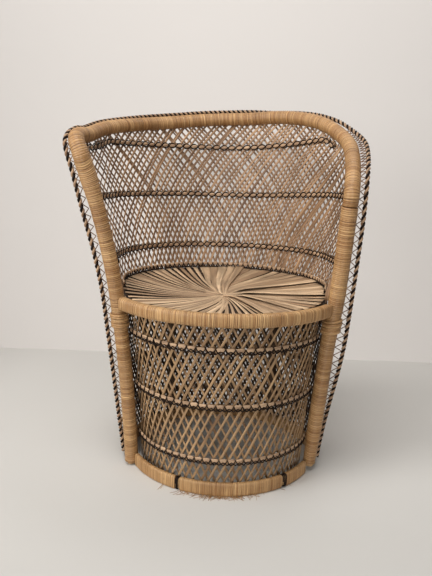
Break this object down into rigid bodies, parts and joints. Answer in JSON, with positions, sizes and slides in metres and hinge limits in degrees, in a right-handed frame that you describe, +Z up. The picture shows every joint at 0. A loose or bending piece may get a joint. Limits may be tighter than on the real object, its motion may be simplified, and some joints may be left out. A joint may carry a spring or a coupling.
{
  "type": "wicker tub chair",
  "caption": "Barrel-shaped wicker armchair: a wrapped hoop of rattan pole, a woven drum base and a flaring lattice back, with dark twined bands, a two-tone border rope and a swirled palm seat.",
  "frame": {"origin": "on the floor, under the middle of the whole chair", "axes": "+Z up; the front of the seat faces -Y; +X is to the right of a person facing the chair"},
  "size_m": [0.6522, 0.5522, 0.8464],
  "materials": {
    "wrapped_cane": "satin",
    "lattice_cane": "matte",
    "palm_strip": "matte",
    "dyed_cane": "matte",
    "bare_core": "matte"
  },
  "bodies": {
    "root": {"left_post": "wrapped_cane", "left_post_core_end": "bare_core", "right_post": "wrapped_cane", "right_post_core_end": "bare_core", "top_rim": "wrapped_cane", "front_seat_rail": "wrapped_cane", "front_base_rail": "wrapped_cane", "left_seat_lashing": "wrapped_cane", "right_seat_lashing": "wrapped_cane", "left_base_tie": "dyed_cane", "right_base_tie": "dyed_cane", "rear_base_hoop": "wrapped_cane", "rear_seat_hoop": "bare_core", "left_rear_leg": "bare_core", "right_rear_leg": "bare_core", "front_seat_bar": "bare_core", "rear_seat_bar": "bare_core", "apron_right_leaning_canes": "lattice_cane", "apron_left_leaning_canes": "lattice_cane", "apron_band_1": "dyed_cane", "apron_band_2": "dyed_cane", "apron_band_3": "dyed_cane", "back_right_leaning_canes_left": "lattice_cane", "back_right_leaning_canes_middle": "lattice_cane", "back_right_leaning_canes_right": "lattice_cane", "back_left_leaning_canes_left": "lattice_cane", "back_left_leaning_canes_middle": "lattice_cane", "back_left_leaning_canes_right": "lattice_cane", "back_band_1": "dyed_cane", "back_band_2": "dyed_cane", "back_band_3": "dyed_cane", "seat_edge_trim": "lattice_cane", "drum_right_leaning_canes_left": "lattice_cane", "drum_right_leaning_canes_middle": "lattice_cane", "drum_right_leaning_canes_right": "lattice_cane", "drum_left_leaning_canes_left": "lattice_cane", "drum_left_leaning_canes_middle": "lattice_cane", "drum_left_leaning_canes_right": "lattice_cane", "drum_band_1": "dyed_cane", "drum_band_2": "dyed_cane", "drum_band_3": "dyed_cane", "border_rope": "dyed_cane", "left_rope_lacing": "lattice_cane", "right_rope_lacing": "lattice_cane", "seat_swirl": "palm_strip"}
  },
  "joints": []
}
